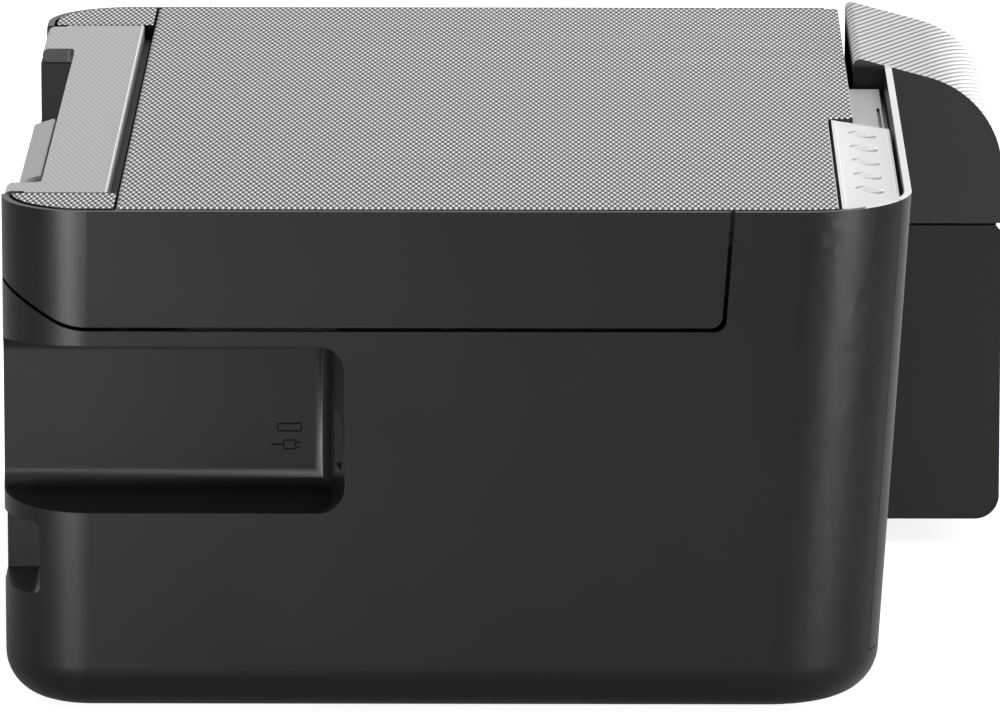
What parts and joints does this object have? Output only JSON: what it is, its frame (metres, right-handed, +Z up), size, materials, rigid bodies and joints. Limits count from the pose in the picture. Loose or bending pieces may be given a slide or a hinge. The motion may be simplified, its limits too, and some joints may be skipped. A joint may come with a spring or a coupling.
{
  "type": "inkjet printer",
  "caption": "All-in-one inkjet printer in charcoal plastic with scanner lid, rear paper feed, front output tray and refillable ink tanks at the front right.",
  "frame": {"origin": "centre of the bounding box's bottom face, on the table under the printer", "axes": "+X to the printer's right as seen by its user, +Y to the rear, +Z up"},
  "size_m": [0.375, 0.347, 0.1783],
  "materials": {
    "case_black": "satin charcoal-black plastic",
    "inner_black": "matt black plastic",
    "foot_rubber": "matt rubber",
    "screw_steel": "zinc-plated steel",
    "panel_silver": "silver lacquered plastic",
    "key_silver": "silver lacquered plastic",
    "board_green": "circuit board",
    "clear_glass": "clear float glass",
    "rod_steel": "ground steel",
    "lid_grey": "textured grey plastic with a fine diagonal dot pattern",
    "pad_white": "white felted foam",
    "guide_grey": "grey plastic",
    "cover_grey": "finely textured light grey plastic",
    "grip_grey": "smooth grey plastic",
    "clear_window": "clear plastic pane",
    "tank_grey": "grey plastic with fine diagonal lines on top",
    "sheet_steel": "zinc-plated sheet",
    "strip_clear": "clear printed film",
    "head_black": "black plastic",
    "belt_rubber": "toothed belt rubber",
    "gear_white": "natural acetal",
    "motor_steel": "drawn steel can",
    "roller_grey": "grey grip coating",
    "pinion_brass": "turned brass",
    "port_steel": "nickel-plated shell",
    "ink_black": "translucent tank holding black ink",
    "ink_cyan": "translucent tank holding cyan ink",
    "ink_magenta": "translucent tank holding magenta ink",
    "ink_yellow": "translucent tank holding yellow ink",
    "cap_black": "rubber plug",
    "cap_cyan": "rubber plug",
    "cap_magenta": "rubber plug",
    "cap_yellow": "rubber plug"
  },
  "bodies": {
    "case": {"lower_case": "case_black", "front_panel": "case_black", "rear_feed_frame": "inner_black", "rubber_feet": "foot_rubber", "case_screws": "screw_steel", "control_panel": "panel_silver", "panel_board": "board_green", "tank_housing": "case_black", "tank_window": "clear_window", "chassis": "sheet_steel", "guide_shaft": "rod_steel", "encoder_strip": "strip_clear", "carriage_belt": "belt_rubber", "carriage_motor": "motor_steel", "feed_motor": "motor_steel", "platen": "inner_black", "feed_ramp": "inner_black", "star_wheel_bar": "inner_black", "pinch_bar": "inner_black", "capping_station": "guide_grey", "waste_ink_pad": "pad_white", "power_supply": "inner_black", "main_board": "board_green", "usb_port": "port_steel", "power_inlet": "inner_black", "ink_tank_black": "ink_black", "ink_tank_cyan": "ink_cyan", "ink_tank_magenta": "ink_magenta", "ink_tank_yellow": "ink_yellow"},
    "scanner_unit": {"scanner_frame": "case_black", "scanner_tray": "inner_black", "scanner_glass": "clear_glass", "scan_rod": "rod_steel", "lid_hinge_pins": "rod_steel"},
    "lid": {"scanner_lid": "lid_grey", "lid_pad": "pad_white"},
    "scan_bar": {"scan_bar": "inner_black"},
    "slot_cover": {"slot_cover": "cover_grey"},
    "paper_support": {"paper_support": "grip_grey"},
    "edge_guide": {"edge_guide": "guide_grey"},
    "output_tray": {"output_tray": "case_black"},
    "output_extension": {"output_extension": "inner_black"},
    "tank_cover": {"tank_cover": "tank_grey"},
    "print_carriage": {"carriage": "inner_black", "print_head": "head_black"},
    "drive_pulley": {"drive_pulley": "gear_white"},
    "idler_pulley": {"idler_pulley": "gear_white"},
    "feed_roller": {"feed_roller": "roller_grey"},
    "exit_roller": {"exit_roller": "roller_grey"},
    "idler_gear": {"idler_gear": "gear_white"},
    "motor_pinion": {"motor_pinion": "pinion_brass"},
    "tank_cap_black": {"tank_cap_black": "cap_black"},
    "tank_cap_cyan": {"tank_cap_cyan": "cap_cyan"},
    "tank_cap_magenta": {"tank_cap_magenta": "cap_magenta"},
    "tank_cap_yellow": {"tank_cap_yellow": "cap_yellow"},
    "power_key": {"power_key": "key_silver"},
    "wireless_key": {"wireless_key": "key_silver"},
    "mono_copy_key": {"mono_copy_key": "key_silver"},
    "colour_copy_key": {"colour_copy_key": "key_silver"},
    "stop_key": {"stop_key": "key_silver"}
  },
  "joints": [
    {"name": "scanner_hinge", "type": "hinge", "parent": "case", "child": "scanner_unit", "pos_m": [0, 0.163, 0.166], "axis": [-1, 0, 0], "range_deg": [0, 25]},
    {"name": "lid_hinge", "type": "hinge", "parent": "scanner_unit", "child": "lid", "pos_m": [0, 0.132, 0.174], "axis": [-1, 0, 0], "range_deg": [0, 80]},
    {"name": "scan_bar_slide", "type": "slide", "parent": "scanner_unit", "child": "scan_bar", "axis": [1, 0, 0], "range_m": [0, 0.27]},
    {"name": "slot_cover_hinge", "type": "hinge", "parent": "case", "child": "slot_cover", "pos_m": [0, 0.1704, 0.1739], "axis": [-1, 0, 0], "range_deg": [0, 105]},
    {"name": "paper_support_slide", "type": "slide", "parent": "case", "child": "paper_support", "axis": [0, 0, 1], "range_m": [0, 0.06]},
    {"name": "edge_guide_slide", "type": "slide", "parent": "case", "child": "edge_guide", "axis": [1, 0, 0], "range_m": [0, 0.1]},
    {"name": "output_tray_slide", "type": "slide", "parent": "case", "child": "output_tray", "axis": [0, -1, 0], "range_m": [0, 0.07]},
    {"name": "output_extension_slide", "type": "slide", "parent": "output_tray", "child": "output_extension", "axis": [0, -1, 0], "range_m": [0, 0.06]},
    {"name": "tank_cover_hinge", "type": "hinge", "parent": "case", "child": "tank_cover", "pos_m": [0.1305, -0.1245, 0.1729], "axis": [-1, 0, 0], "range_deg": [0, 70]},
    {"name": "tank_cap_black_pull", "type": "slide", "parent": "case", "child": "tank_cap_black", "axis": [0, 0, 1], "range_m": [0, 0.02]},
    {"name": "tank_cap_cyan_pull", "type": "slide", "parent": "case", "child": "tank_cap_cyan", "axis": [0, 0, 1], "range_m": [0, 0.02]},
    {"name": "tank_cap_magenta_pull", "type": "slide", "parent": "case", "child": "tank_cap_magenta", "axis": [0, 0, 1], "range_m": [0, 0.02]},
    {"name": "tank_cap_yellow_pull", "type": "slide", "parent": "case", "child": "tank_cap_yellow", "axis": [0, 0, 1], "range_m": [0, 0.02]},
    {"name": "power_key_press", "type": "slide", "parent": "case", "child": "power_key", "axis": [0, 0, -1], "range_m": [0, 0.0008], "stiffness_N_per_m": 400, "springref_m": -0.001},
    {"name": "wireless_key_press", "type": "slide", "parent": "case", "child": "wireless_key", "axis": [0, 0, -1], "range_m": [0, 0.0008], "stiffness_N_per_m": 400, "springref_m": -0.001},
    {"name": "mono_copy_key_press", "type": "slide", "parent": "case", "child": "mono_copy_key", "axis": [0, 0, -1], "range_m": [0, 0.0008], "stiffness_N_per_m": 400, "springref_m": -0.001},
    {"name": "colour_copy_key_press", "type": "slide", "parent": "case", "child": "colour_copy_key", "axis": [0, 0, -1], "range_m": [0, 0.0008], "stiffness_N_per_m": 400, "springref_m": -0.001},
    {"name": "stop_key_press", "type": "slide", "parent": "case", "child": "stop_key", "axis": [0, 0, -1], "range_m": [0, 0.0008], "stiffness_N_per_m": 400, "springref_m": -0.001},
    {"name": "carriage_slide", "type": "slide", "parent": "case", "child": "print_carriage", "axis": [-1, 0, 0], "range_m": [0, 0.23]},
    {"name": "drive_pulley_turn", "type": "hinge", "parent": "case", "child": "drive_pulley", "pos_m": [0.155, 0.0545, 0.1034], "axis": [0, -1, 0], "range_deg": [0, 1900]},
    {"name": "idler_pulley_turn", "type": "hinge", "parent": "case", "child": "idler_pulley", "pos_m": [-0.1335, 0.0545, 0.1034], "axis": [0, -1, 0], "range_deg": [0, 1900]},
    {"name": "feed_roller_turn", "type": "hinge", "parent": "case", "child": "feed_roller", "pos_m": [0, 0.075, 0.068], "axis": [1, 0, 0], "continuous": true},
    {"name": "exit_roller_turn", "type": "hinge", "parent": "case", "child": "exit_roller", "pos_m": [0, -0.025, 0.068], "axis": [1, 0, 0], "continuous": true},
    {"name": "idler_gear_turn", "type": "hinge", "parent": "case", "child": "idler_gear", "pos_m": [-0.1494, 0.025, 0.068], "axis": [1, 0, 0], "continuous": true},
    {"name": "motor_pinion_turn", "type": "hinge", "parent": "case", "child": "motor_pinion", "pos_m": [-0.1494, 0.0943, 0.04502], "axis": [1, 0, 0], "continuous": true}
  ],
  "couplings": [
    {"joint": "drive_pulley_turn", "follows": "carriage_slide", "rad_per_m": 142.86},
    {"joint": "idler_pulley_turn", "follows": "carriage_slide", "rad_per_m": 142.86},
    {"joint": "idler_gear_turn", "follows": "feed_roller_turn", "ratio": -0.66667},
    {"joint": "exit_roller_turn", "follows": "feed_roller_turn", "ratio": 1},
    {"joint": "motor_pinion_turn", "follows": "feed_roller_turn", "ratio": -2}
  ]
}
